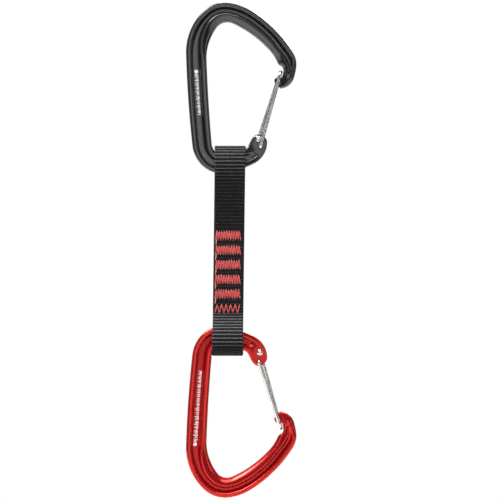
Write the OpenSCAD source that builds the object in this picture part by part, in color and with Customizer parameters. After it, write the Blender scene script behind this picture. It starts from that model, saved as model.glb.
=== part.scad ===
// Climbing quickdraw: two wire-gate carabiners joined by a sewn webbing dogbone.
// Millimetres, +Z up, +X towards the gate side, +Y towards the back.
// Origin: the lowest point of the hanger carabiner's crown, where a bolt hanger pulls.
// The outlines are drawn in the XZ plane as chains of tangent arcs.

/* [Carabiner frame] */
// Thickness of the two rails across the flat faces
frame_t = 8.8; // [8:0.2:9.2]
// Thickness of the web between the rails
web_t = 3.2; // [2.4:0.2:4]
// Width of the outer rail
outer_rail_w = 3.2; // [2.8:0.1:3.4]
// Width of the inner rail, the one that carries the rope
inner_rail_w = 4.2; // [3.6:0.1:4.4]
// Easing of the long edges of the rails
rail_ease = 1.2; // [0.8:0.1:1.3]
// Thickness of the hinge boss that the gate straddles
boss_t = 4.9; // [4.5:0.1:4.9]
// Thickness of the nose key that reaches between the gate's legs
key_t = 5; // [4.4:0.1:5.2]

/* [Wire gate] */
// Diameter of the gate wire
wire_d = 2.1; // [1.8:0.1:2.1]
// Distance between the centre lines of the two legs
leg_gap = 8.6; // [8.6:0.1:9]
// Centre radius of the corners at the gate's tip
tip_bend_r = 2.8; // [2.4:0.1:3]
// Centre radius of the bend from a leg into its pivot pin
pin_bend_r = 1.5; // [1.2:0.1:1.6]
// Radial clearance of a pivot pin in its hole
pin_clearance = 0.06; // [0.02:0.01:0.1]
// Diameter of the peened head on the end of a pin
head_d = 3.5; // [3:0.1:3.6]
// Gap where the two coupled halves of the gate meet
leg_joint_gap = 0.5; // [0.5:0.05:0.8]

/* [Sling] */
// Width of the webbing
sling_w = 17.4; // [16:0.2:17.4]
// Thickness of one layer of webbing
layer_t = 1.5; // [1.2:0.1:1.6]
// Outer radius of the top loop
top_loop_r = 9.35; // [9.3:0.05:9.6]
// Outer radius of the bottom loop
bottom_loop_r = 10.2; // [10.1:0.1:10.4]
// Height of the top end of the sewn stretch
sewn_top = -119; // [-122:0.5:-116]
// Height of the bottom end of the sewn stretch
sewn_bottom = -166.2; // [-168:0.1:-166.2]
// Middle of the webbing across its width
sling_x = 1.7; // [1.6:0.1:1.8]

/* [Stitching] */
// Width of a bartack
tack_w = 14.2; // [12:0.2:15]
// Height of a bartack
tack_h = 5; // [4:0.1:5.4]
// Distance from one bartack to the next
tack_pitch = 8.4; // [8.2:0.05:8.5]
// Height of the first bartack's middle
first_tack_z = -121.5; // [-122:0.1:-121.5]
// How far the stitches stand proud of the webbing
tack_proud = 0.4; // [0.2:0.1:0.6]

/* [Keeper] */
// Wall of the rubber liner that holds the rope carabiner in its loop
keeper_wall = 0.6; // [0.5:0.05:0.65]
// Length of the liner along the carabiner's bar
keeper_w = 14; // [10:1:14]

/* [Hidden] */
$fn = 48;

// A pen is [x, z, heading in degrees]. An arc is [radius, turn in degrees];
// a negative turn is clockwise.
spine_foot = [-19.2, -70.2, 96.3];
outer_arcs = [
    [640, -4.7], [32.5, -47.8], [17.9, -51.3], [30.6, -24.3],
    [75.5, -26.1], [13.1, -40.4], [39.5, -9], [8.3, -72]
];
window_foot = [-8.2, -68.9, 95];
window_arcs = [[911, -3], [28.7, -39.1], [7.6, -77.6], [65.5, -22.7], [26.8, -19.4]];
heel_start = [-19.2, -70.2, 276.3];
heel_arcs = [[19, 36], [16.5, 61], [65, 9]];
heel_head_arcs = [[65, 4.5], [13.7, 69], [1.7, 45]];
sling_seat_start = [-8.2, -68.9, 275];
sling_seat_arcs = [[9.4, 28.5], [5, 70], [150, 3.7]];

// Outline of the hinge boss from the sling seat over the pivots to the outer edge
boss_points = [
    [11.5, -73.4], [12.5, -71.2], [13.1, -69.8], [14.5, -67], [15.6, -65.2],
    [17.2, -64], [19, -63.6], [20.8, -64.1], [22.2, -65.2]
];
boss_root = [[8, -82.6], [8, -73.9]];

// Inner face of the nose: shoulder, notch for the gate's tip, then the hook
nose_face = [
    [30.6, -22.4], [31.4, -25], [32.5, -26.4], [32.6, -29],
    [32.1, -31], [31.2, -33.5], [30.5, -36], [30.3, -37.2]
];
nose_root = [[28, -19], [33, -15]];
key_points = [
    [33.5, -31.6], [31, -31.1], [28.6, -31.5], [27.8, -32.4],
    [27.7, -33.8], [28.4, -35.2], [30.3, -37], [33.5, -36.6]
];

// Pivots of the gate: the front leg turns in the heel pivot, the back leg in the other
heel_pivot = [19.4, -71.4];
inner_pivot = [18.6, -66.6];
// Middle of the gate's cross piece
gate_tip = [31.16, -28.69];

bar_z = -79.6;
// The rope carabiner is the same part turned end for end about this height
mid_z = -129.9;
// Gap between the boss and a peened head, and between a head and the leg beside it
head_gap = 0.05;
leg_clearance = 0.1;
pin_len = boss_t / 2 + head_gap;
head_t = leg_gap / 2 - wire_d / 2 - leg_clearance - pin_len;
// How far the web, the nose and the boss are drawn in from the frame's outer edge
web_inset = 1;
nose_inset = 0.7;
boss_inset = 0.1;
// How much thinner the nose is than the rails, and the first outer arc that belongs to it
nose_relief = 0.8;
first_nose_arc = 5;
// How far each nested layer of a rail is drawn in, and how far below the flat face it ends
rail_steps = [[0, rail_ease], [rail_ease / 2, rail_ease / 3], [rail_ease, 0]];
nose_side_of_web = [[34, -33], [34, -25.5], [31.5, -23.5]];
boss_side_of_web = [[11.4, -74], [14, -77]];
cavity_tip = 0.05;
// Half the thickness of the two sewn layers with the gap between them
layer_gap = 0.1;
sew_half_t = layer_t + layer_gap;
sew_lap = 1;
keeper_gap = 0.1;
// Finest turn drawn as one straight step on a frame's arc, and the steps round a loop
arc_step = 7;
loop_steps = 36;
bend_facets = 64;
keeper_facets = 96;

black = [0.1, 0.1, 0.11];
red = [0.7, 0.08, 0.09];
steel = [0.75, 0.75, 0.74];
web_grey = [0.16, 0.15, 0.17];
coral = [0.9, 0.26, 0.22];
rubber_grey = [0.08, 0.08, 0.08];

function side(turn) = turn < 0 ? -1 : 1;
function centre(pen, arc) = [
    pen[0] - side(arc[1]) * arc[0] * sin(pen[2]),
    pen[1] + side(arc[1]) * arc[0] * cos(pen[2])
];
function along(pen, arc, turn) = let (c = centre(pen, arc), h = pen[2] + turn, s = side(arc[1]))
    [c[0] + s * arc[0] * sin(h), c[1] - s * arc[0] * cos(h), h];
function pen_after(pen, arcs, count) = count == 0 ? pen :
    along(pen_after(pen, arcs, count - 1), arcs[count - 1], arcs[count - 1][1]);
function arc_points(pen, arc, steps) = [
    for (k = [0:steps - 1]) let (p = along(pen, arc, arc[1] * k / steps)) [p[0], p[1]]
];
function arc_steps(arc) = max(2, ceil(abs(arc[1]) / arc_step));
function chain_points(pen, arcs) = [
    for (i = [0:len(arcs) - 1])
        each arc_points(pen_after(pen, arcs, i), arcs[i], arc_steps(arcs[i]))
];
function end_point(pen, arcs) = let (p = pen_after(pen, arcs, len(arcs))) [p[0], p[1]];

// The same chain moved d to the left of its direction of travel
function moved_pen(pen, d) = [pen[0] - d * sin(pen[2]), pen[1] + d * cos(pen[2]), pen[2]];
function moved_arcs(arcs, d) = [for (a = arcs) [a[0] - side(a[1]) * d, a[1]]];
function reversed(list) = [for (i = [len(list) - 1:-1:0]) list[i]];
function all_but_first(list) = [for (i = [1:len(list) - 1]) list[i]];
function without_ends(list) = [for (i = [1:len(list) - 2]) list[i]];
function moved_points(pen, arcs, d) = let (p = moved_pen(pen, d), a = moved_arcs(arcs, d))
    concat(chain_points(p, a), [end_point(p, a)]);

// The outer edge and the edge of the windows, both from the boss round the spine to
// the nose, moved d into the metal
function outer_line(d) = concat(
    reversed(all_but_first(moved_points(heel_start, heel_arcs, d))),
    moved_points(spine_foot, outer_arcs, -d)
);
function window_line(d) = concat(
    reversed(all_but_first(moved_points(sling_seat_start, sling_seat_arcs, -d))),
    moved_points(window_foot, window_arcs, d)
);

module plate(t, points) {
    translate([0, 0, -t / 2])
        linear_extrude(t)
            polygon(points);
}

// Each rail is three nested layers, so that its long edges are eased
module outer_rail() {
    for (step = rail_steps)
        plate(frame_t - 2 * step[1], concat(
            outer_line(step[0]), reversed(outer_line(outer_rail_w - step[0]))));
}

module inner_rail() {
    for (step = rail_steps)
        plate(frame_t - 2 * step[1], concat(
            window_line(step[0]), reversed(window_line(inner_rail_w - step[0]))));
}

// The thin web spans between the two rails all round the frame
module web() {
    plate(web_t, concat(
        without_ends(outer_line(web_inset)), nose_side_of_web,
        reversed(without_ends(window_line(web_inset))), boss_side_of_web
    ));
}

module nose() {
    shoulder = pen_after(spine_foot, outer_arcs, first_nose_arc);
    tip_arcs = [for (i = [first_nose_arc:len(outer_arcs) - 1]) outer_arcs[i]];
    plate(frame_t - nose_relief, concat(
        moved_points(shoulder, tip_arcs, -nose_inset), reversed(nose_face), nose_root));
    plate(key_t, key_points);
}

module boss() {
    head = pen_after(heel_start, heel_arcs, len(heel_arcs));
    edge = moved_points(head, heel_head_arcs, boss_inset);
    plate(boss_t, concat(boss_root, boss_points, reversed(edge)));
}

module pivot_hole(at) {
    translate([at[0], at[1], -frame_t])
        cylinder(h = 2 * frame_t, r = wire_d / 2 + pin_clearance);
}

module frame() {
    rotate([90, 0, 0])
        difference() {
            union() {
                outer_rail();
                inner_rail();
                web();
                nose();
                boss();
            }
            pivot_hole(heel_pivot);
            pivot_hole(inner_pivot);
        }
}

module rod(length) {
    cylinder(h = length, r = wire_d / 2);
}

module bend(r) {
    rotate_extrude(angle = 90, $fn = bend_facets)
        translate([r, 0])
            circle(r = wire_d / 2);
}

// One leg in its own plane: the pin's axis is Y at the origin, the leg runs along +X
module leg(length) {
    translate([pin_bend_r, -leg_gap / 2, 0])
        rotate([0, 90, 0])
            rod(length - pin_bend_r);
    translate([pin_bend_r, pin_bend_r - leg_gap / 2, 0])
        rotate([0, 0, 180])
            bend(pin_bend_r);
    translate([0, pin_bend_r - leg_gap / 2, 0])
        rotate([-90, 0, 0])
            rod(leg_gap / 2 - pin_bend_r + pin_len);
    translate([0, pin_len, 0])
        rotate([-90, 0, 0])
            cylinder(h = head_t, r = head_d / 2);
}

function reach(pivot) = norm(gate_tip - pivot);
function slope(pivot) = atan2(gate_tip[1] - pivot[1], gate_tip[0] - pivot[0]);

module at_pivot(pivot) {
    translate([pivot[0], 0, pivot[1]])
        rotate([0, -slope(pivot), 0])
            children();
}

// Front leg, the cross piece at the tip and the corner that leads into the back leg
module gate_wire() {
    r = reach(heel_pivot);
    side_y = leg_gap / 2 - tip_bend_r;
    at_pivot(heel_pivot) {
        leg(r - tip_bend_r);
        translate([r - tip_bend_r, -side_y, 0])
            rotate([0, 0, -90])
                bend(tip_bend_r);
        translate([r, -side_y, 0])
            rotate([-90, 0, 0])
                rod(2 * side_y);
        translate([r - tip_bend_r, side_y, 0])
            bend(tip_bend_r);
    }
}

module gate_spring_leg() {
    at_pivot(inner_pivot)
        mirror([0, 1, 0])
            leg(reach(inner_pivot) - tip_bend_r - leg_joint_gap);
}

module turned_end_for_end() {
    translate([0, 0, 2 * mid_z])
        rotate([180, 0, 0])
            children();
}

// A loop seen from the side: a circle with straight flanks that meet at depth l
module drop(r, l, half_t) {
    flank = atan2(-l, half_t) + acos(r / norm([half_t, l]));
    turn = 180 - 2 * flank;
    polygon(concat(
        [for (k = [0:loop_steps]) let (a = flank + turn * k / loop_steps) [r * cos(a), r * sin(a)]],
        [[-half_t, -l], [half_t, -l]]
    ));
}

module top_drop(r, depth_z, half_t) {
    translate([0, bar_z])
        drop(r, bar_z - depth_z, half_t);
}

module bottom_drop(r, depth_z, half_t) {
    low_z = 2 * mid_z - bar_z;
    translate([0, low_z])
        rotate(180)
            drop(r, depth_z - low_z, half_t);
}

module across_sling(width) {
    translate([sling_x, 0, 0])
        rotate([90, 0, 90])
            translate([0, 0, -width / 2])
                linear_extrude(width)
                    children();
}

module webbing() {
    across_sling(sling_w)
        difference() {
            union() {
                top_drop(top_loop_r, sewn_top, sew_half_t);
                translate([-sew_half_t, sewn_bottom - sew_lap])
                    square([2 * sew_half_t, sewn_top - sewn_bottom + 2 * sew_lap]);
                bottom_drop(bottom_loop_r, sewn_bottom, sew_half_t);
            }
            top_drop(top_loop_r - layer_t, sewn_top + sew_lap / 2, cavity_tip);
            bottom_drop(bottom_loop_r - layer_t, sewn_bottom - sew_lap / 2, cavity_tip);
        }
}

// Each bartack shows as a block of stitches on the front and on the back
module bartack(n) {
    for (face = [-1, 1])
        translate([sling_x - tack_w / 2, face * (sew_half_t + tack_proud / 2) - tack_proud / 2,
                   first_tack_z - n * tack_pitch - tack_h / 2])
            cube([tack_w, tack_proud, tack_h]);
}

module keeper() {
    r = bottom_loop_r - layer_t - keeper_gap;
    across_sling(keeper_w)
        translate([0, 2 * mid_z - bar_z])
            difference() {
                circle(r = r, $fn = keeper_facets);
                circle(r = r - keeper_wall, $fn = keeper_facets);
            }
}

module hanger_carabiner_frame() { color(black) frame(); }
module hanger_gate_wire() { color(steel) gate_wire(); }
module hanger_gate_spring_leg() { color(steel) gate_spring_leg(); }
module sling_webbing() { color(web_grey) webbing(); }
module bartack_node(n) { color(coral) bartack(n); }
module rubber_keeper() { color(rubber_grey) keeper(); }
module rope_carabiner_frame() { color(red) turned_end_for_end() frame(); }
module rope_gate_wire() { color(steel) turned_end_for_end() gate_wire(); }
module rope_gate_spring_leg() { color(steel) turned_end_for_end() gate_spring_leg(); }

hanger_carabiner_frame();
hanger_gate_wire();
hanger_gate_spring_leg();
sling_webbing();
bartack_node(0);  // bartack_1
bartack_node(1);  // bartack_2
bartack_node(2);  // bartack_3
bartack_node(3);  // bartack_4
bartack_node(4);  // bartack_5
bartack_node(5);  // bartack_6
rubber_keeper();
rope_carabiner_frame();
rope_gate_wire();
rope_gate_spring_leg();
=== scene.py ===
"""Looks of the climbing quickdraw: forged frames, wire gates, ribbed webbing, bartacks."""

import math
import random

import bmesh
import bpy
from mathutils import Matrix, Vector


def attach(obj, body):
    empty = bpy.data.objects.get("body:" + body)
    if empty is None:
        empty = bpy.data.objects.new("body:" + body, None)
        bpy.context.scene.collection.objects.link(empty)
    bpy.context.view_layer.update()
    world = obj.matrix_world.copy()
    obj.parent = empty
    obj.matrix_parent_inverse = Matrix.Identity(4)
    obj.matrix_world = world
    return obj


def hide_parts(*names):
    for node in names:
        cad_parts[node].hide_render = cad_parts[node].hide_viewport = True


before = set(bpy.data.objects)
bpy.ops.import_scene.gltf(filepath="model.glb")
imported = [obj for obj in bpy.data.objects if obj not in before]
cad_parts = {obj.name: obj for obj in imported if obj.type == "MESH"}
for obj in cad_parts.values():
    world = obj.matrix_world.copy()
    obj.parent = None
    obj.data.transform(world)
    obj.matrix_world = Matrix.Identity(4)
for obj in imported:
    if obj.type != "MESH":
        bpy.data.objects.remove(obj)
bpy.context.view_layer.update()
random.seed(7)
MM = 0.001


# ---------------------------------------------------------------- driving sizes, in mm
# Outlines of the upper frame. A pen is (x, z, heading in degrees), and an arc is (radius, turn),
# where negative turns are clockwise. All four lines run from the spine's foot: the outer edge and
# the window over the crown to the nose, and the heel and the sling seat to the boss.
SPINE_FOOT = (-19.2, -70.2, 96.3)
OUTER_ARCS = [(640, -4.7), (32.5, -47.8), (17.9, -51.3), (30.6, -24.3),
              (75.5, -26.1), (13.1, -40.4), (39.5, -9.0), (8.3, -72.0)]
WINDOW_FOOT = (-8.2, -68.9, 95.0)
WINDOW_ARCS = [(911, -3.0), (28.7, -39.1), (7.6, -77.6), (65.5, -22.7), (26.8, -19.4)]
HEEL_START = (-19.2, -70.2, 276.3)
HEEL_ARCS = [(19, 36), (16.5, 61), (65, 9)]
HEEL_HEAD_ARCS = [(65, 4.5), (13.7, 69), (1.7, 45)]
SEAT_START = (-8.2, -68.9, 275.0)
SEAT_ARCS = [(9.4, 28.5), (5, 70), (150, 3.7)]
# Points of the smooth curves along the window side of the boss and of the nose, and round the key
BOSS_EDGE = [(9.3, -72.72), (10.4, -72.45), (11.4, -71.9), (12.3, -71.0), (13.1, -69.6),
             (14.3, -67.1), (15.6, -65.2), (17.2, -64.0), (19.0, -63.6), (20.8, -64.0),
             (22.0, -64.9), (22.82, -65.86)]
NOSE_EDGE = [(30.3, -24.3), (31.6, -25.0), (32.5, -25.9), (32.75, -27.2), (32.6, -29.0),
             (31.95, -31.0), (31.1, -33.2), (30.5, -35.2), (30.25, -36.6), (30.4, -37.45),
             (30.875, -37.75)]
KEY_EDGE = [(33.5, -31.6), (31.0, -31.1), (28.8, -31.4), (27.9, -32.2), (27.6, -33.2),
            (27.8, -34.3), (28.5, -35.4), (30.3, -37.0), (33.5, -36.6)]
# Half the thickness of the rails, of the hinge boss and of the web between the rails
HALF_T = 4.4
BOSS_HALF_T = 2.45
WEB_HALF_T = 1.6
# The key in the nose, which stands between the gate's legs below the cross piece
KEY_T = 5.0
KEY_BEVEL = 0.8
# The thickness runs out over BOSS_EASE at the boss. At the nose it does so where the frame is
# narrower than NOSE_EASE, in the last NOSE_EASE_REACH.
BOSS_EASE = 0.9
NOSE_EASE = 4.6
NOSE_EASE_REACH = 9
# Headings, in degrees, where the crown, the arm and the nose follow one another, and the window
# line's own heading at the end of the spine
CROWN_START = 91.6
CROWN_END = 20.0
ARM_BEND = -30.0
NOSE_START = -66.8
WINDOW_START = 92.0
# Pairs of headings (window edge, outer edge) from the boss back to the spine's foot
HEEL_PAIRS = [(377.2, 382.3), (373.5, 373.3), (275.0, 276.3)]

# Wire gate: the front leg turns on the heel pivot, and the back leg on the inner one
HEEL_PIVOT = (19.4, -71.4)
INNER_PIVOT = (18.6, -66.6)
GATE_TIP = (31.27, -28.30)
WIRE_R = 1.05
WIRE_SIDES = 24
LEG_Y = 4.3
TIP_BEND_R = 2.8
PIN_BEND_R = 1.5
# Peened heads on the far ends of the pins
HEAD_R = 1.75
PIN_END = 2.5
HEAD_TOP = 3.15
# Steps of the stub behind the tip's corner, and how far before it the back leg ends, in the stub
STUB_STEP = 0.35
LEG_SHORT = 0.4

# Sling: the middle of the quickdraw, and the bars that the two loops go round
MID_Z = -129.9
TOP_BAR_Z = -79.6
LOW_BAR_Z = 2 * MID_Z - TOP_BAR_Z
TOP_LOOP_R = 8.6
LOW_LOOP_R = 9.45
LAYER_T = 1.5
SLING_W = 17.5
SEWN_TOP = -119.0
SEWN_BOTTOM = -165.8
LAYER_Y = 0.8
RIB_PITCH = 2.0
RIB_H = 0.26
RIB_STEPS = 8
SLING_COLUMNS = 26
FOLD_FLARE = 0.3
SELVEDGE_FROM = 0.93
SELVEDGE_THIN = 0.55
SELVEDGE_WAVE = 0.06
RIB_WANDER = 0.012
WARP_H = 0.03
WARP_PITCH = 0.9
SLING_X_TOP = 2.3
SLING_X_LOW = 1.0

TACKS = 6
TACK_W = 14.2
TACK_H = 5.0
LOOSE_TACK_H = 4.5
TACK_PITCH = 8.4
FIRST_TACK_Z = -121.5
TACK_SHIFT = 0.45
STITCH_JITTER = 0.28
SPACING_JITTER = 0.05
FILL_SHARE = 0.34
FILL_SUNK = 0.22
FILL_JITTER = 0.25
ZIGZAG_PITCH = 0.72
LOOSE_PITCH = 1.35
THREAD_R = 0.33
JUMP_R = 0.2
SEWN_SURFACE = LAYER_Y + LAYER_T / 2

KEEPER_HALF_W = 7.0
KEEPER_WALL = 0.55
KEEPER_GAP = 0.12
KEEPER_TURNS = 96

# Marks: the middle of the spine's pocket passes through this point with this slope
MARK_POINT = (-16.8, -29.2)
MARK_SLOPE = -0.0776
MARK_PROUD = 0.03
MARK_DEPTH = 0.06
DOT_R = 1.1
TICK_SIZES = (0.42, 0.62, 0.42, 0.34)
TICK_HALVES = (1.2, 0.75, 1.35, 1.0, 0.6)
TICK_SHIFTS = (0.0, -0.2, 0.15, 0.0, 0.3, -0.15, 0.1)
TICK_GAPS = (0.36, 0.3, 0.6)
HANGER_MARKS = (-27.0, -52.5)
ROPE_MARKS = (-18.0, -61.0)


# ---------------------------------------------------------------- plane geometry
def advance(pen, arc, turn):
    """The pen after it has turned by part or all of an arc."""
    x, z, heading = pen
    side = -1 if arc[1] < 0 else 1
    h0, h1 = math.radians(heading), math.radians(heading + turn)
    cx = x - side * arc[0] * math.sin(h0)
    cz = z + side * arc[0] * math.cos(h0)
    return (cx + side * arc[0] * math.sin(h1), cz - side * arc[0] * math.cos(h1), heading + turn)


def chain_at(pen, arcs, heading):
    """The point of a chain of arcs where it has the given heading."""
    for arc in arcs:
        turn = heading - pen[2]
        if abs(turn) <= abs(arc[1]) + 1e-9:
            return advance(pen, arc, turn)
        pen = advance(pen, arc, arc[1])
    return pen


def chain_end(pen, arcs):
    """The pen at the end of a chain of arcs."""
    for arc in arcs:
        pen = advance(pen, arc, arc[1])
    return pen


def catmull(points, steps=8):
    """A smooth curve through the points."""
    pts = [points[0]] + list(points) + [points[-1]]
    out = []
    for i in range(1, len(pts) - 2):
        p0, p1, p2, p3 = (Vector(p) for p in pts[i - 1:i + 3])
        for k in range(steps):
            t = k / steps
            out.append(0.5 * ((2 * p1) + (p2 - p0) * t + (2 * p0 - 5 * p1 + 4 * p2 - p3) * t * t
                              + (3 * p1 - p0 - 3 * p2 + p3) * t ** 3))
    out.append(Vector(pts[-2]))
    return out


def resample(points, count=None, step=None, closed=False):
    """Points at equal distances along a polyline."""
    pts = [Vector(p) for p in points]
    if closed:
        pts.append(pts[0].copy())
    run = [0.0]
    for a, b in zip(pts, pts[1:]):
        run.append(run[-1] + (b - a).length)
    total = run[-1]
    if count is None:
        count = max(2, round(total / step) + 1)
    last = count if closed else count - 1
    out, j = [], 0
    for i in range(count):
        s = total * i / last
        while j < len(run) - 2 and run[j + 1] < s:
            j += 1
        span = max(run[j + 1] - run[j], 1e-9)
        out.append(pts[j].lerp(pts[j + 1], min(1.0, (s - run[j]) / span)))
    return out


def lerp(a, b, t):
    """Straight blend from a to b."""
    return a + (b - a) * t


def ramp(keys, x):
    """Smooth value between (x, value) keys."""
    if x <= keys[0][0]:
        return keys[0][1]
    for (x0, v0), (x1, v1) in zip(keys, keys[1:]):
        if x <= x1:
            t = (x - x0) / (x1 - x0)
            return lerp(v0, v1, t * t * (3 - 2 * t))
    return keys[-1][1]


def b_spline_ring(points, per=2):
    """A closed cubic B-spline round the control points."""
    n = len(points)
    out = []
    for i in range(n):
        p = [points[(i + k) % n] for k in range(-1, 3)]
        for k in range(per):
            t = k / per
            w = ((1 - t) ** 3, 3 * t ** 3 - 6 * t * t + 4, -3 * t ** 3 + 3 * t * t + 3 * t + 1, t ** 3)
            out.append((sum(a * q[0] for a, q in zip(w, p)) / 6,
                        sum(a * q[1] for a, q in zip(w, p)) / 6))
    return out


# ---------------------------------------------------------------- mesh helpers
def finish_mesh(name, verts, faces, smooth=True, attributes=None):
    """An object in metres from points in mm; attributes are one float per vertex."""
    mesh = bpy.data.meshes.new(name)
    mesh.from_pydata([Vector(v) * MM for v in verts], [], faces)
    mesh.validate()
    for key, values in (attributes or {}).items():
        layer = mesh.attributes.new(key, 'FLOAT', 'POINT')
        layer.data.foreach_set('value', values)
    bm = bmesh.new()
    bm.from_mesh(mesh)
    bmesh.ops.recalc_face_normals(bm, faces=bm.faces)
    bm.to_mesh(mesh)
    bm.free()
    if smooth:
        mesh.polygons.foreach_set('use_smooth', [True] * len(mesh.polygons))
    obj = bpy.data.objects.new(name, mesh)
    bpy.context.collection.objects.link(obj)
    return obj


def bridge(rings, verts, faces, closed=False):
    """Quads between equal rings, added to verts and faces, with end caps unless it is closed."""
    base = len(verts)
    n = len(rings[0])
    for ring in rings:
        verts.extend(ring)
    pairs = len(rings) if closed else len(rings) - 1
    for i in range(pairs):
        a = base + i * n
        b = base + ((i + 1) % len(rings)) * n
        for j in range(n):
            k = (j + 1) % n
            faces.append((a + j, a + k, b + k, b + j))
    if not closed:
        faces.append(tuple(base + j for j in reversed(range(n))))
        faces.append(tuple(base + (len(rings) - 1) * n + j for j in range(n)))


def tube(path, radii, sides):
    """Rings of a tube with round ends along a path, without twist; one radius per point."""
    pts = [Vector(p) for p in path]
    tangents = []
    for i in range(len(pts)):
        a, b = pts[max(i - 1, 0)], pts[min(i + 1, len(pts) - 1)]
        tangents.append((b - a).normalized())
    ref = Vector((0, 1, 0)) if abs(tangents[0].y) < 0.9 else Vector((1, 0, 0))
    normal = (ref - tangents[0] * ref.dot(tangents[0])).normalized()
    frames = []
    for t in tangents:
        normal = (normal - t * normal.dot(t)).normalized()
        frames.append((normal.copy(), t.cross(normal)))
    steps = [math.radians(a) for a in (80, 60, 40, 20)]
    r0, r1 = radii[0], radii[-1]
    head = [(pts[0] - tangents[0] * r0 * math.sin(a), frames[0], r0 * math.cos(a)) for a in steps]
    tail = [(pts[-1] + tangents[-1] * r1 * math.sin(a), frames[-1], r1 * math.cos(a))
            for a in reversed(steps)]
    turns = [2 * math.pi * k / sides for k in range(sides)]
    return [[p + (u * math.cos(a) + v * math.sin(a)) * r for a in turns]
            for p, (u, v), r in head + list(zip(pts, frames, radii)) + tail]


def turn_over(points):
    """The rope carabiner's place: the same part turned end for end about X."""
    return [Vector((p[0], -p[1], 2 * MID_Z - p[2])) for p in points]


# ---------------------------------------------------------------- forged frame
def frame_stations():
    """Pairs of points (outer edge, window edge) from the hinge boss round to the nose tip."""
    pairs = []

    def add(outer, inner, step=0.7, is_last=False):
        """Adds a stretch of paired curves, spaced evenly along their middle.

        The end of a stretch is the start of the next one, so only the last stretch keeps it.
        """
        mids = [(Vector(o[:2]) + Vector(i[:2])) / 2 for o, i in zip(outer, inner)]
        run = [0.0]
        for a, b in zip(mids, mids[1:]):
            run.append(run[-1] + (b - a).length)
        count = max(3, round(run[-1] / step) + 1)
        j = 0
        for c in range(count if is_last else count - 1):
            s = run[-1] * c / (count - 1)
            while j < len(run) - 2 and run[j + 1] < s:
                j += 1
            t = (s - run[j]) / max(run[j + 1] - run[j], 1e-9)
            pairs.append((Vector(outer[j][:2]).lerp(Vector(outer[j + 1][:2]), t),
                          Vector(inner[j][:2]).lerp(Vector(inner[j + 1][:2]), t)))

    dense = 120
    fractions = [k / dense for k in range(dense + 1)]
    # boss: from the top of the head down to the sling seat
    head = chain_end(HEEL_START, HEEL_ARCS)
    h1 = chain_end(head, HEEL_HEAD_ARCS)[2]
    outer = [chain_at(head, HEEL_HEAD_ARCS, lerp(h1, head[2], f)) for f in fractions]
    outer = resample([p[:2] for p in outer], dense + 1)
    seat_end = chain_end(SEAT_START, SEAT_ARCS)
    inner = resample(catmull([seat_end[:2]] + BOSS_EDGE), dense + 1)
    inner.reverse()
    add(outer, inner, 0.45)
    # sling seat and heel, back to the spine's foot
    for (i0, o0), (i1, o1) in zip(HEEL_PAIRS, HEEL_PAIRS[1:]):
        add([chain_at(HEEL_START, HEEL_ARCS, lerp(o0, o1, f)) for f in fractions],
            [chain_at(SEAT_START, SEAT_ARCS, lerp(i0, i1, f)) for f in fractions])
    # spine
    add([advance(SPINE_FOOT, OUTER_ARCS[0], OUTER_ARCS[0][1] * f) for f in fractions],
        [advance(WINDOW_FOOT, WINDOW_ARCS[0], WINDOW_ARCS[0][1] * f) for f in fractions], 1.0)
    # crown and arm, paired where both edges have the same heading
    for a, b in ((CROWN_START, CROWN_END), (CROWN_END, ARM_BEND), (ARM_BEND, NOSE_START)):
        add([chain_at(SPINE_FOOT, OUTER_ARCS, lerp(a, b, f)) for f in fractions],
            [chain_at(WINDOW_FOOT, WINDOW_ARCS, min(WINDOW_START, lerp(a, b, f))) for f in fractions])
    # nose
    tip = chain_end(SPINE_FOOT, OUTER_ARCS)
    outer = [chain_at(SPINE_FOOT, OUTER_ARCS, lerp(NOSE_START, tip[2], f)) for f in fractions]
    outer = resample([p[:2] for p in outer], dense + 1)
    arm_end = chain_end(WINDOW_FOOT, WINDOW_ARCS)
    inner = resample(catmull([arm_end[:2]] + NOSE_EDGE), dense + 1)
    add(outer, inner, 0.45, is_last=True)
    return pairs


def section(w, a, b, h, f, wall_a, wall_b, crown, bull):
    """Control points of one cross-section, from the outer edge across both rails.

    a and b are the widths of the outer and inner rail, w is the whole width, h and f are the
    heights of the rails and of the pocket's floor. wall_a and wall_b are the sloping parts of
    the rails; crown rounds the rope side, and bull rounds the whole section.
    """
    roundness = 2.4
    rise = h - f
    mid = w - a - b
    ta, tb = a - wall_a, b - wall_b
    top = [
        (0.0, 0.0), (0.0, 0.42 * h), (0.02 * ta, 0.76 * h), (0.10 * ta, 0.95 * h),
        (0.27 * ta, 1.005 * h), (0.55 * ta, h), (0.85 * ta, h),
        (ta + 0.10 * wall_a, f + 0.93 * rise), (ta + 0.45 * wall_a, f + 0.50 * rise),
        (ta + 0.85 * wall_a, f + 0.08 * rise),
        (a + 0.06 * mid, f), (a + 0.3 * mid, f), (a + 0.7 * mid, f), (a + 0.94 * mid, f),
        (w - b + 0.15 * wall_b, f + 0.08 * rise), (w - b + 0.50 * wall_b, f + 0.50 * rise),
        (w - b + 0.90 * wall_b, f + 0.93 * rise), (w - 0.95 * tb, 1.0 * h),
        (w - 0.78 * tb, lerp(1.0, 0.97, crown) * h), (w - 0.55 * tb, lerp(1.0, 0.88, crown) * h),
        (w - 0.30 * tb, lerp(1.0, 0.71, crown) * h), (w - 0.12 * tb, lerp(0.94, 0.48, crown) * h),
        (w - 0.02 * tb, lerp(0.74, 0.27, crown) * h), (w, lerp(0.40, 0.12, crown) * h), (w, 0.0)
    ]
    for k, (t, y) in enumerate(top):
        arch = 1.02 * h * max(0.0, 1 - abs(2 * t / w - 1) ** roundness) ** (1 / roundness)
        top[k] = (t, lerp(y, min(y, arch), bull))
    return top + [(t, -y) for t, y in reversed(top[1:-1])]


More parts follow.
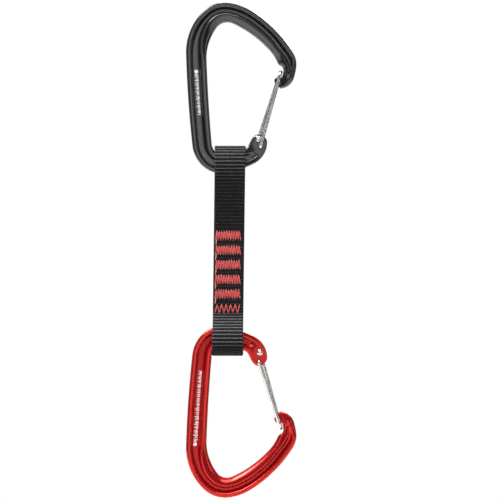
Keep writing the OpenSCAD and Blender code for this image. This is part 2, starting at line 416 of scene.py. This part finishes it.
def corner_sharpness(ring):
    """How sharply a closed polygon turns outwards at each point, 0 to 1."""
    blunt, sharp = 0.12, 0.47
    out = []
    n = len(ring)
    for k in range(n):
        (x0, y0), (x1, y1), (x2, y2) = ring[k - 1], ring[k], ring[(k + 1) % n]
        cross = (x1 - x0) * (y2 - y1) - (y1 - y0) * (x2 - x1)
        dot = (x1 - x0) * (x2 - x1) + (y1 - y0) * (y2 - y1)
        turn = -math.atan2(cross, dot)
        out.append(min(1.0, max(0.0, (turn - blunt) / (sharp - blunt))))
    return out


def forged_frame(name, place):
    """The frame, lofted from the boss to the nose.

    Keys of the ramps are distances in mm: from the boss where the ramp is of s, and back from
    the nose where it is of to_end.
    """
    pairs = frame_stations()
    mids = [(o + i) / 2 for o, i in pairs]
    run = [0.0]
    for a, b in zip(mids, mids[1:]):
        run.append(run[-1] + (b - a).length)
    total = run[-1]
    rings, wear, depth = [], [], []
    for (o, i), s in zip(pairs, run):
        width = (i - o).length
        to_end = total - s
        half_t = min(ramp([(8, BOSS_HALF_T), (22, HALF_T)], s),
                     ramp([(0, 3.2), (9, 4.1), (17, HALF_T)], to_end))
        pocket = min(ramp([(8.5, 0.0), (14, 1.0)], s), ramp([(9, 0.0), (21, 1.0)], to_end))
        crown = min(ramp([(95, 0.0), (120, 1.0)], s), ramp([(8, 0.0), (24, 1.0)], to_end))
        outer_w = min(ramp([(0, 1.4), (8, 3.0), (22, 3.4), (45, 3.7), (95, 3.7), (120, 4.1)], s),
                      ramp([(0, 1.6), (10, 3.4), (26, 4.1)], to_end))
        mid_w = min(ramp([(7, 0.3), (20, 3.2), (45, 3.7), (95, 3.7), (120, 1.5)], s),
                    ramp([(8, 0.3), (24, 1.4), (34, 4.0)], to_end))
        if outer_w + mid_w > 0.6 * width:
            k = 0.6 * width / (outer_w + mid_w)
            outer_w, mid_w = outer_w * k, mid_w * k
        inner_w = width - outer_w - mid_w
        outer_wall = outer_w * min(ramp([(95, 0.13), (120, 0.40)], s), 0.40)
        inner_wall = inner_w * ramp([(95, 0.38), (120, 0.15)], s)
        # the thickness runs out where the outline closes, round at the nose and blunt at the boss
        if s < BOSS_EASE:
            half_t *= max(0.04, math.sqrt(1 - (1 - s / BOSS_EASE) ** 2))
        if width < NOSE_EASE and to_end < NOSE_EASE_REACH:
            half_t *= max(0.04, math.sqrt(1 - (1 - width / NOSE_EASE) ** 2))
        floor = lerp(half_t, WEB_HALF_T, pocket)
        bull = ramp([(7, 1.0), (17, 0.0)], to_end)
        along = (i - o) / max(width, 1e-6)
        width = max(width, 0.2)
        outline = b_spline_ring(section(width, outer_w, inner_w, half_t, floor,
                                        outer_wall, inner_wall, crown, bull))
        ring = []
        for (t, y), sharp in zip(outline, corner_sharpness(outline)):
            p = o + along * t
            ring.append(Vector((p.x, y, p.y)))
            wear.append(sharp)
            depth.append(1.0 - min(1.0, max(0.0, (abs(y) - WEB_HALF_T) / (HALF_T - WEB_HALF_T))))
        rings.append(place(ring))
    verts, faces = [], []
    bridge(rings, verts, faces)
    return finish_mesh(name, verts, faces, attributes={"wear": wear, "depth": depth})


def nose_key(name, place):
    """A plate with rounded edges, whose blunt end stands out of the nose into the window."""
    outline = catmull(KEY_EDGE, 5)
    n = len(outline)
    rings = []
    centre = sum((Vector(p) for p in outline), Vector((0, 0))) / n
    steps = [math.radians(a) for a in (0, 22, 45, 67, 90)]
    levels = [(-KEY_T / 2 + KEY_BEVEL * (1 - math.sin(a)), KEY_BEVEL * (1 - math.cos(a)))
              for a in reversed(steps)]
    levels += [(-y, inset) for y, inset in reversed(levels)]
    for y, inset in levels:
        ring = []
        for k in range(n):
            p = Vector(outline[k])
            a, b = Vector(outline[k - 1]), Vector(outline[(k + 1) % n])
            t = (b - a).normalized()
            inward = Vector((-t.y, t.x))
            if inward.dot(centre - p) < 0:
                inward = -inward
            q = p + inward * inset
            ring.append(Vector((q.x, y, q.y)))
        rings.append(place(ring))
    verts, faces = [], []
    bridge(rings, verts, faces)
    plain = [0.0] * len(verts)
    return finish_mesh(name, verts, faces, attributes={"wear": plain, "depth": plain})


# ---------------------------------------------------------------- wire gate
def leg_frame(pivot):
    """Direction and length of the line from a pivot to the gate's tip."""
    along = Vector((GATE_TIP[0] - pivot[0], GATE_TIP[1] - pivot[1]))
    reach = along.length
    along.normalize()
    return along, reach


def at_leg(pivot, along, u, y):
    """The point u along a leg from its pivot, at depth y."""
    return Vector((pivot[0] + along.x * u, y, pivot[1] + along.y * u))


def bend_points(pivot, along, side, reach_to):
    """Pin, bend and leg of one side; side is -1 in front and 1 behind."""
    pts = [at_leg(pivot, along, 0, -side * (PIN_END - 0.1 - 0.5 * k)) for k in range(0, 10)]
    pts = [p for p in pts if side * p.y < LEG_Y - PIN_BEND_R - 0.05]
    for k in range(0, 10):
        a = math.radians(10 * k)
        pts.append(at_leg(pivot, along, PIN_BEND_R * (1 - math.cos(a)),
                          side * (LEG_Y - PIN_BEND_R + PIN_BEND_R * math.sin(a))))
    length = reach_to - PIN_BEND_R
    count = 26
    pts += [at_leg(pivot, along, PIN_BEND_R + length * k / count, side * LEG_Y)
            for k in range(1, count + 1)]
    return pts


def peened_head(pivot, side):
    """Dome on the far end of a pin, on the side opposite its leg."""
    profile = [(HEAD_R * 0.96, PIN_END), (HEAD_R, PIN_END + 0.12), (HEAD_R * 0.98, PIN_END + 0.28),
               (HEAD_R * 0.86, PIN_END + 0.46), (HEAD_R * 0.62, HEAD_TOP - 0.08),
               (HEAD_R * 0.42, HEAD_TOP), (HEAD_R * 0.3, HEAD_TOP - 0.03),
               (HEAD_R * 0.16, HEAD_TOP - 0.16), (0.02, HEAD_TOP - 0.2)]
    sides = 40
    return [[Vector((pivot[0] + r * math.cos(2 * math.pi * k / sides), side * y,
                     pivot[1] + r * math.sin(2 * math.pi * k / sides))) for k in range(sides)]
            for r, y in profile]


def gate_front(name, place):
    """Front leg, the cross piece at the tip and the start of the back leg."""
    along, reach = leg_frame(HEEL_PIVOT)
    back, back_reach = leg_frame(INNER_PIVOT)
    pts = bend_points(HEEL_PIVOT, along, -1, reach - TIP_BEND_R)
    for k in range(1, 10):
        a = math.radians(10 * k)
        pts.append(at_leg(HEEL_PIVOT, along, reach - TIP_BEND_R + TIP_BEND_R * math.sin(a),
                          -LEG_Y + TIP_BEND_R * (1 - math.cos(a))))
    pts += [at_leg(HEEL_PIVOT, along, reach, y) for y in (-1.0, -0.5, 0.0, 0.5, 1.0)]
    for k in range(0, 10):
        a = math.radians(10 * k)
        mix = along.lerp(back, k / 9)
        q = Vector(GATE_TIP) - mix * TIP_BEND_R * (1 - math.cos(a))
        pts.append(Vector((q.x, LEG_Y - TIP_BEND_R * (1 - math.sin(a)), q.y)))
    stub = back_reach - TIP_BEND_R
    pts += [at_leg(INNER_PIVOT, back, stub - STUB_STEP * k, LEG_Y) for k in range(1, 4)]
    verts, faces = [], []
    bridge([place(r) for r in tube(pts, [WIRE_R] * len(pts), WIRE_SIDES)], verts, faces)
    bridge([place(r) for r in peened_head(HEEL_PIVOT, 1)], verts, faces)
    return finish_mesh(name, verts, faces)


def gate_back(name, place):
    """Back leg, which ends inside the stub of the tip's corner."""
    along, reach = leg_frame(INNER_PIVOT)
    pts = bend_points(INNER_PIVOT, along, 1, reach - TIP_BEND_R - LEG_SHORT)
    radii = [WIRE_R] * (len(pts) - 1) + [WIRE_R - 0.02]
    verts, faces = [], []
    bridge([place(r) for r in tube(pts, radii, WIRE_SIDES)], verts, faces)
    bridge([place(r) for r in peened_head(INNER_PIVOT, -1)], verts, faces)
    return finish_mesh(name, verts, faces)


# ---------------------------------------------------------------- sling
def sling_mid_line():
    """Closed middle line of the webbing in the (y, z) plane, starting on the front."""
    arc_steps = 48

    def flank(r, depth):
        """Angle on a loop's circle where the tangent leads to the sewn part."""
        d = math.hypot(LAYER_Y, depth)
        return math.atan2(-depth, LAYER_Y) + math.acos(r / d)

    pts = []
    top = flank(TOP_LOOP_R, TOP_BAR_Z - SEWN_TOP)
    low = flank(LOW_LOOP_R, SEWN_BOTTOM - LOW_BAR_Z)
    for k in range(arc_steps + 1):
        a = lerp(math.pi - top, top, k / arc_steps)
        pts.append((TOP_LOOP_R * math.cos(a), TOP_BAR_Z + TOP_LOOP_R * math.sin(a)))
    pts += [(LAYER_Y, SEWN_TOP), (LAYER_Y, SEWN_BOTTOM)]
    for k in range(arc_steps + 1):
        a = lerp(low, math.pi - low, k / arc_steps)
        pts.append((LOW_LOOP_R * math.cos(a), LOW_BAR_Z - LOW_LOOP_R * math.sin(a)))
    pts += [(-LAYER_Y, SEWN_BOTTOM), (-LAYER_Y, SEWN_TOP)]
    pts = resample(pts, step=0.5, closed=True)
    for _ in range(6):
        pts = [(pts[i - 1] + pts[i] * 2 + pts[(i + 1) % len(pts)]) / 4 for i in range(len(pts))]
    return pts


def sling_centre(z):
    """The sling hangs a little askew, because the top loop is loose on its bar."""
    return lerp(SLING_X_TOP, SLING_X_LOW, (TOP_BAR_Z - z) / (TOP_BAR_Z - LOW_BAR_Z))


def webbing(name):
    """The ribbed loop; across and rib are read by its material, and rib holds the painted highlight of
    the rib crests.
    """
    line = sling_mid_line()
    length = sum((line[(i + 1) % len(line)] - line[i]).length for i in range(len(line)))
    ribs = round(length / RIB_PITCH)
    pts = resample(line, count=ribs * RIB_STEPS, closed=True)
    n = len(pts)
    outline = [(lerp(-face, face, k / SLING_COLUMNS), face)
               for face in (1, -1) for k in range(SLING_COLUMNS + 1)]
    rings, v_across, v_rib_painted_light = [], [], []
    for i, p in enumerate(pts):
        t = (pts[(i + 1) % n] - pts[i - 1]).normalized()
        normal = Vector((-t.y, t.x))
        phase = i / RIB_STEPS
        # the webbing is slightly wider near the folds, and painted shade dims its ribs at the lower one
        near_fold = min(1.0, abs(p.y - MID_Z) / abs(TOP_BAR_Z - MID_Z))
        half_w = SLING_W / 2 + FOLD_FLARE * min(1.0, max(0.0, near_fold - 0.95) * 10)
        painted_fold_shade = min(1.0, max(0.0, (LOW_BAR_Z - 2.5 - p.y) / 4.0))
        # painted shade: the rib crests of the sewn middle get a dimmer painted highlight than those of
        # the two loops
        painted_mid_shade = ramp([(-186, 1.0), (-172, 1.0), (-163, 0.62), (-92, 0.62), (-80, 0.9)], p.y)
        centre = sling_centre(p.y)
        ring = []
        for u, face in outline:
            edge = max(0.0, (abs(u) - SELVEDGE_FROM) / (1 - SELVEDGE_FROM))
            thick = (LAYER_T / 2) * (1 - SELVEDGE_THIN * edge ** 2)
            wander = RIB_WANDER * math.sin(9 * u + 0.9 * phase)
            weft = 0.5 + 0.5 * math.cos(2 * math.pi * (phase + wander))
            rib = weft ** 1.5
            warp = WARP_H * math.cos(2 * math.pi * u * SLING_W / 2 / WARP_PITCH)
            lift = thick - RIB_H + RIB_H * rib + warp * rib
            x = centre + u * half_w - (1 if u > 0 else -1) * SELVEDGE_WAVE * edge * (1 - weft)
            q = p + normal * lift * face
            ring.append(Vector((x, q.x, q.y)))
            v_across.append(u * half_w)
            # the rib value carries the painted highlight, dimmed by painted shade in the sewn middle and
            # at the lower fold
            v_rib_painted_light.append(rib * painted_mid_shade * (1.0 - 0.6 * painted_fold_shade))
        rings.append(ring)
    verts, faces = [], []
    bridge(rings, verts, faces, closed=True)
    return finish_mesh(name, verts, faces, attributes={"across": v_across, "rib": v_rib_painted_light})


def stitch(a, b, out, verts, faces, radius=THREAD_R):
    """One strand of thread on the webbing, which dives in at both ends."""
    steps, sunk = 8, 0.12
    a, b = Vector(a), Vector(b)
    proud = radius * 0.75
    pts = []
    for k in range(steps + 1):
        t = k / steps
        lift = proud * math.sin(math.pi * min(1.0, max(0.0, lerp(-0.02, 1.02, t)))) ** 0.35
        p = a.lerp(b, t)
        pts.append(Vector((p.x, p.y + out * (lift - sunk), p.z)))
    radii = [radius * (0.75 if k in (0, steps) else 1.0) for k in range(steps + 1)]
    bridge(tube(pts, radii, 8), verts, faces)


def sew(points, out, verts, faces):
    """Strands of thread from each point to the next."""
    for a, b in zip(points, points[1:]):
        stitch(a, b, out, verts, faces)


def bartack(name, row):
    """A zigzag across the webbing, on the front and on the back; the lowest one is loose."""
    z = FIRST_TACK_Z - row * TACK_PITCH
    loose = row == TACKS - 1
    height = LOOSE_TACK_H if loose else TACK_H
    count = round(TACK_W / (LOOSE_PITCH if loose else ZIGZAG_PITCH))
    left = sling_centre(z) - TACK_W / 2 - TACK_SHIFT
    verts, faces = [], []
    for out in (-1, 1):
        points = []
        for k in range(count + 1):
            up = 1 if k % 2 else -1
            jitter = random.uniform(-STITCH_JITTER, STITCH_JITTER)
            x = left + k * TACK_W / count + random.uniform(-SPACING_JITTER, SPACING_JITTER)
            points.append((x, out * SEWN_SURFACE, z + up * height / 2 + jitter))
        sew(points, out, verts, faces)
        # a shorter zigzag lies below the first and fills its middle
        if not loose:
            low = []
            for k in range(count):
                up = -1 if k % 2 else 1
                low.append((left + (k + 0.5) * TACK_W / count, out * (SEWN_SURFACE - FILL_SUNK),
                            z + up * height * FILL_SHARE + random.uniform(-FILL_JITTER, FILL_JITTER)))
            sew(low, out, verts, faces)
    return finish_mesh(name, verts, faces)


def jump_threads(name):
    """Thread that runs down the left side from one bartack to the next."""
    verts, faces = [], []
    for row in range(TACKS - 1):
        z0 = FIRST_TACK_Z - row * TACK_PITCH - TACK_H / 2
        z1 = z0 - (TACK_PITCH - TACK_H)
        x = sling_centre(z0) - TACK_W / 2
        for out in (-1, 1):
            stitch((x, out * SEWN_SURFACE, z0 + 0.6), (x - 0.4, out * SEWN_SURFACE, z1 + 0.3),
                   out, verts, faces, JUMP_R)
    return finish_mesh(name, verts, faces)


def keeper(name):
    """Rubber ring with lips and shallow grooves inside the lower loop."""
    outer_r = LOW_LOOP_R - LAYER_T / 2 - KEEPER_GAP
    inner_r = outer_r - KEEPER_WALL
    lip_w, groove_h, groove_pitch = 0.9, 0.06, 1.4
    steps = 56
    profile = []
    for k in range(steps + 1):
        x = lerp(-KEEPER_HALF_W, KEEPER_HALF_W, k / steps)
        lip = max(0.0, (abs(x) - KEEPER_HALF_W + lip_w) / lip_w)
        groove = groove_h * (0.5 + 0.5 * math.cos(2 * math.pi * x / groove_pitch))
        profile.append((x, inner_r + groove * (1 - lip)))
    for k in range(steps + 1):
        profile.append((lerp(KEEPER_HALF_W, -KEEPER_HALF_W, k / steps), outer_r))
    centre = sling_centre(LOW_BAR_Z)
    rings = []
    for k in range(KEEPER_TURNS):
        a = 2 * math.pi * k / KEEPER_TURNS
        rings.append([Vector((centre + x, r * math.cos(a), LOW_BAR_Z + r * math.sin(a)))
                      for x, r in profile])
    verts, faces = [], []
    bridge(rings, verts, faces, closed=True)
    return finish_mesh(name, verts, faces)


# ---------------------------------------------------------------- printed marks
def dot_corners(x, z):
    """A round dot whose top is at z."""
    turns = [2 * math.pi * k / 24 for k in range(24)]
    return [(x + DOT_R * math.cos(a), z - DOT_R + DOT_R * math.sin(a)) for a in turns]


def tick_corners(x, z, size, half):
    """A tick whose top edge is at z."""
    return [(x - half, z), (x + half, z), (x + half, z - size), (x - half, z - size)]


def spine_marks(name, z_from, z_to, place):
    """Generic laser marks on the floor of the spine's pocket, on both faces: a dot, then ticks."""
    verts, faces = [], []
    level = WEB_HALF_T + MARK_PROUD
    for face in (-1, 1):
        z, count = z_from, 0
        while z > z_to:
            x_mid = MARK_POINT[0] + (z - MARK_POINT[1]) * MARK_SLOPE
            if count == 0:
                size = 2 * DOT_R
                corners = dot_corners(x_mid, z)
            else:
                size = TICK_SIZES[count % len(TICK_SIZES)]
                shift = TICK_SHIFTS[count % len(TICK_SHIFTS)]
                corners = tick_corners(x_mid + shift, z, size, TICK_HALVES[count % len(TICK_HALVES)])
            bridge([place([Vector((x, face * (level - depth), zz)) for x, zz in corners])
                    for depth in (0.0, MARK_DEPTH)], verts, faces)
            z -= size + TICK_GAPS[count % len(TICK_GAPS)]
            count += 1
    return finish_mesh(name, verts, faces, smooth=False)


# ---------------------------------------------------------------- materials
class Look:
    """A small helper round one node material."""

    def __init__(self, name):
        self.mat = bpy.data.materials.new(name)
        self.mat.use_nodes = True
        self.tree = self.mat.node_tree
        self.shader = self.tree.nodes["Principled BSDF"]

    def node(self, kind, **values):
        """A node with its inputs or its properties set."""
        node = self.tree.nodes.new(kind)
        for key, value in values.items():
            if key in node.inputs:
                node.inputs[key].default_value = value
            else:
                setattr(node, key, value)
        return node

    def link(self, a, b):
        self.tree.links.new(a, b)

    def set(self, **values):
        """Constants on the shader's own sockets."""
        for key, value in values.items():
            self.shader.inputs[key.replace("_", " ")].default_value = value

    def noise(self, scale, detail):
        """Noise in the object's own space."""
        coord = self.node("ShaderNodeTexCoord")
        noise = self.node("ShaderNodeTexNoise", Scale=scale, Detail=detail, Roughness=0.55)
        self.link(coord.outputs["Object"], noise.inputs["Vector"])
        return noise.outputs["Fac"]

    def attribute(self, name):
        return self.node("ShaderNodeAttribute", attribute_name=name).outputs["Fac"]

    def ramp(self, fac, stops):
        ramp = self.node("ShaderNodeValToRGB")
        elements = ramp.color_ramp.elements
        while len(elements) < len(stops):
            elements.new(0.5)
        for element, (pos, colour) in zip(elements, stops):
            element.position = pos
            element.color = (*colour, 1)
        self.link(fac, ramp.inputs["Fac"])
        return ramp.outputs["Color"]

    def maths(self, kind, a, b=0.5):
        node = self.node("ShaderNodeMath", operation=kind)
        for k, v in enumerate((a, b)):
            if isinstance(v, (int, float)):
                node.inputs[k].default_value = v
            else:
                self.link(v, node.inputs[k])
        return node.outputs[0]

    def mix(self, fac, a, b):
        node = self.node("ShaderNodeMix", data_type="RGBA")
        self.link(fac, node.inputs["Factor"])
        for socket, value in ((node.inputs["A"], a), (node.inputs["B"], b)):
            if isinstance(value, tuple):
                socket.default_value = (*value, 1)
            else:
                self.link(value, socket)
        return node.outputs["Result"]

    def colour(self, socket):
        self.link(socket, self.shader.inputs["Base Color"])

    def roughness(self, fac, low, high):
        r = self.node("ShaderNodeMapRange")
        r.inputs["To Min"].default_value = low
        r.inputs["To Max"].default_value = high
        self.link(fac, r.inputs["Value"])
        self.link(r.outputs["Result"], self.shader.inputs["Roughness"])

    def bump(self, height, distance, strength):
        bump = self.node("ShaderNodeBump", Strength=strength, Distance=distance)
        self.link(height, bump.inputs["Height"])
        self.link(bump.outputs["Normal"], self.shader.inputs["Normal"])


def anodised(name, dark, base, floor, edge, tint, metallic, rough, coat):
    """Anodised forging: satin grain, faint blotches, a flatter tone on the pocket's floor."""
    look = Look(name)
    blotch = look.noise(90, 4)
    colour = look.mix(blotch, dark, base)
    depth = look.maths("POWER", look.attribute("depth"), 6.0)
    colour = look.mix(depth, colour, floor)
    rub = look.maths("MULTIPLY", look.attribute("wear"), look.maths("MULTIPLY", look.noise(700, 2), 0.15))
    look.colour(look.mix(rub, colour, edge))
    satin = look.maths("POWER", look.attribute("depth"), 1.2)
    grain = look.maths("MULTIPLY", look.noise(320, 5), 0.4)
    look.roughness(look.maths("MAXIMUM", satin, grain), rough - 0.05, rough + 0.25)
    look.bump(look.noise(5200, 2), 0.000008, 0.4)
    look.set(Metallic=metallic, Specular_Tint=(*tint, 1), Specular_IOR_Level=0.95,
             Coat_Weight=coat, Coat_Roughness=0.1)
    return look.mat


def steel():
    """Drawn stainless wire."""
    look = Look("drawn_steel")
    look.colour(look.ramp(look.noise(240, 3), [(0.3, (0.40, 0.395, 0.38)), (0.7, (0.52, 0.515, 0.50))]))
    look.roughness(look.noise(900, 4), 0.14, 0.28)
    look.bump(look.noise(3800, 2), 0.000003, 0.3)
    look.set(Metallic=1.0)
    return look.mat


def polyester():
    """Near-black webbing with a painted highlight on its rib crests; yarns run across each rib."""
    look = Look("ribbed_polyester")
    rib = look.attribute("rib")
    yarn_pitch = 0.62
    yarn = look.maths("SINE", look.maths("MULTIPLY", look.attribute("across"), 2 * math.pi / yarn_pitch))
    # the node's third input, which is added, is 0.5 as well
    yarn = look.maths("MULTIPLY_ADD", yarn, 0.5)
    fuzz = look.noise(1500, 4)
    painted_crest_light = look.maths("MULTIPLY", rib, look.maths("ADD", fuzz, 0.45))
    # painted highlight: the rib crests are coloured lighter than the valleys
    look.colour(look.ramp(painted_crest_light, [(0.14, (0.0015, 0.0014, 0.0018)), (0.50, (0.003, 0.0028, 0.0036)),
                                 (0.95, (0.088, 0.084, 0.094))]))
    look.roughness(fuzz, 0.62, 0.85)
    look.bump(look.maths("ADD", yarn, look.noise(2600, 3)), 0.00008, 0.8)
    look.set(Sheen_Weight=0.03, Sheen_Roughness=0.5, Specular_IOR_Level=0.12)
    return look.mat


def thread(name, low, high):
    """Twisted thread, with painted shade in the grooves of its twist and random tone from noise."""
    look = Look(name)
    coord = look.node("ShaderNodeTexCoord")
    wave = look.node("ShaderNodeTexWave", Scale=900.0, Distortion=2.0)
    wave.bands_direction = "DIAGONAL"
    look.link(coord.outputs["Object"], wave.inputs["Vector"])
    # painted shade: the dark low colour falls in the twist's grooves; the noise adds random tone
    look.colour(look.ramp(look.maths("ADD", look.maths("MULTIPLY", wave.outputs["Fac"], 0.5),
                                     look.maths("MULTIPLY", look.noise(800, 3), 0.5)),
                          [(0.2, low), (0.75, high)]))
    look.roughness(look.noise(1200, 2), 0.5, 0.7)
    look.bump(wave.outputs["Fac"], 0.00006, 0.7)
    look.set(Sheen_Weight=0.3, Sheen_Roughness=0.4)
    return look.mat


def rubber():
    """Matt black rubber."""
    look = Look("keeper_rubber")
    look.colour(look.ramp(look.noise(300, 3), [(0.3, (0.012, 0.012, 0.012)), (0.8, (0.03, 0.03, 0.03))]))
    look.roughness(look.noise(900, 3), 0.55, 0.75)
    look.bump(look.noise(2400, 3), 0.00004, 0.6)
    return look.mat


def print_ink():
    """Pale, slightly uneven laser marking."""
    look = Look("laser_mark")
    look.colour(look.ramp(look.noise(2600, 3), [(0.25, (0.45, 0.45, 0.46)), (0.6, (0.78, 0.78, 0.8))]))
    look.roughness(look.noise(1200, 2), 0.45, 0.6)
    return look.mat


# ---------------------------------------------------------------- assembly
def dress(obj, material, body, slot, *nodes):
    """Gives a piece its material and body, and hides the CAD nodes that it replaces; slot is not used."""
    obj.data.materials.append(material)
    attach(obj, body)
    if nodes:
        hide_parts(*nodes)


BLACK = anodised("black_anodised", (0.010, 0.0095, 0.0115), (0.018, 0.017, 0.020),
                 (0.052, 0.050, 0.058), (0.12, 0.118, 0.12), (1, 1, 1), 0.75, 0.18, 0.5)
RED = anodised("red_anodised", (0.28, 0.002, 0.006), (0.39, 0.005, 0.011),
               (0.35, 0.004, 0.011), (0.66, 0.12, 0.06), (1.0, 0.74, 0.44), 0.72, 0.14, 0.05)
STEEL = steel()
WEBBING = polyester()
CORAL = thread("coral_thread", (0.06, 0.003, 0.004), (0.54, 0.045, 0.038))
PALE = thread("pale_thread", (0.40, 0.10, 0.09), (0.62, 0.25, 0.22))
RUBBER = rubber()
INK = print_ink()


def build_carabiner(prefix, metal, slot, place, marks):
    """One carabiner; place puts the upper one's points where this one is."""
    body = prefix + "_carabiner"
    dress(forged_frame(prefix + "_forged_frame", place), metal, body, slot, prefix + "_carabiner_frame")
    dress(nose_key(prefix + "_nose_key", place), metal, body, slot)
    dress(spine_marks(prefix + "_spine_marks", *marks, place), INK, body, slot)
    dress(gate_front(prefix + "_gate_front_leg", place), STEEL, prefix + "_gate", "gate_steel",
          prefix + "_gate_wire")
    dress(gate_back(prefix + "_gate_back_leg", place), STEEL, prefix + "_spring_leg", "gate_steel",
          prefix + "_gate_spring_leg")


build_carabiner("hanger", BLACK, "black_anodised", lambda ring: ring, HANGER_MARKS)
build_carabiner("rope", RED, "red_anodised", turn_over, ROPE_MARKS)

dress(webbing("webbing_loop"), WEBBING, "sling", "webbing", "sling_webbing")
for tack in range(TACKS):
    dress(bartack("stitches_%d" % (tack + 1), tack), CORAL, "sling", "bartack_thread",
          "bartack_%d" % (tack + 1))
dress(jump_threads("jump_threads"), PALE, "sling", "bartack_thread")
dress(keeper("keeper_ring"), RUBBER, "sling", "keeper_rubber", "rubber_keeper")


# ---------------------------------------------------------------- stage, light, camera
def pale_floor():
    """Matt pale grey, which the lights bring up to white."""
    look = Look("pale_floor")
    grey = 0.72
    look.colour(look.ramp(look.noise(6, 2), [(0.2, (grey,) * 3), (0.8, (grey * 0.985,) * 3)]))
    look.set(Roughness=0.8)
    return look.mat


def studio():
    """The floor, and a world that is a soft grey gradient in reflections and white behind."""
    bpy.ops.mesh.primitive_plane_add(size=1.6, location=(0, 0, -0.32))
    floor = bpy.context.object
    floor.name = "studio_floor"
    floor.data.materials.append(pale_floor())

    world = bpy.data.worlds.new("studio")
    bpy.context.scene.world = world
    world.use_nodes = True
    tree = world.node_tree
    background = tree.nodes["Background"]
    coord = tree.nodes.new("ShaderNodeTexCoord")
    split = tree.nodes.new("ShaderNodeSeparateXYZ")
    tree.links.new(coord.outputs["Generated"], split.inputs[0])
    ramp = tree.nodes.new("ShaderNodeValToRGB")
    ramp.color_ramp.elements[0].position = 0.30
    ramp.color_ramp.elements[0].color = (0.08, 0.08, 0.085, 1)
    ramp.color_ramp.elements[1].position = 0.85
    ramp.color_ramp.elements[1].color = (0.40, 0.40, 0.41, 1)
    shift = tree.nodes.new("ShaderNodeMath")
    shift.operation = "MULTIPLY_ADD"
    shift.inputs[1].default_value = 0.5
    shift.inputs[2].default_value = 0.5
    tree.links.new(split.outputs["Z"], shift.inputs[0])
    tree.links.new(shift.outputs[0], ramp.inputs["Fac"])
    path = tree.nodes.new("ShaderNodeLightPath")
    mix = tree.nodes.new("ShaderNodeMix")
    mix.data_type = "RGBA"
    tree.links.new(path.outputs["Is Camera Ray"], mix.inputs["Factor"])
    tree.links.new(ramp.outputs["Color"], mix.inputs["A"])
    mix.inputs["B"].default_value = (1, 1, 1, 1)
    tree.links.new(mix.outputs["Result"], background.inputs["Color"])
    background.inputs["Strength"].default_value = 1.0


def area_light(name, position, target, size, power, colour=(1, 1, 1)):
    """A rectangular soft box aimed at a target; metres and watts."""
    data = bpy.data.lights.new(name, "AREA")
    data.shape = "RECTANGLE"
    data.size, data.size_y = size
    data.energy = power
    data.color = colour
    light = bpy.data.objects.new(name, data)
    bpy.context.collection.objects.link(light)
    light.location = position
    aim = Vector(target) - Vector(position)
    light.rotation_euler = aim.to_track_quat("-Z", "Y").to_euler()


studio()
middle = (0.0087, 0.0, MID_Z * MM)
area_light("key_top", (-0.35, -0.4, 1.0), (-0.2, 0, -0.13), (1.7, 0.65), 31)
area_light("glint", (-0.54, -0.19, 0.70), middle, (0.8, 0.3), 20, (1.0, 0.95, 0.86))
area_light("left", (-1.2, -0.6, 0.15), middle, (0.15, 0.9), 1.9)
area_light("right", (1.2, -0.5, 0.0), middle, (0.15, 0.9), 2.5)
area_light("front", (0.1, -1.9, -0.1), middle, (0.5, 0.5), 1.8)
area_light("back", (0.3, 1.2, 0.5), middle, (0.8, 0.6), 9)

camera_data = bpy.data.cameras.new("camera")
camera = bpy.data.objects.new("camera", camera_data)
bpy.context.collection.objects.link(camera)
VIEW_SPAN = 0.2855
VIEW_X = 0.0137
DISTANCE = 3.0
camera_data.sensor_width = 36
camera_data.lens = 36 * DISTANCE / VIEW_SPAN
camera.location = (VIEW_X, -DISTANCE, MID_Z * MM)
camera.rotation_euler = (math.radians(90), 0, 0)
camera_data.clip_end = 20
bpy.context.scene.camera = camera
bpy.context.scene.view_settings.view_transform = "Standard"
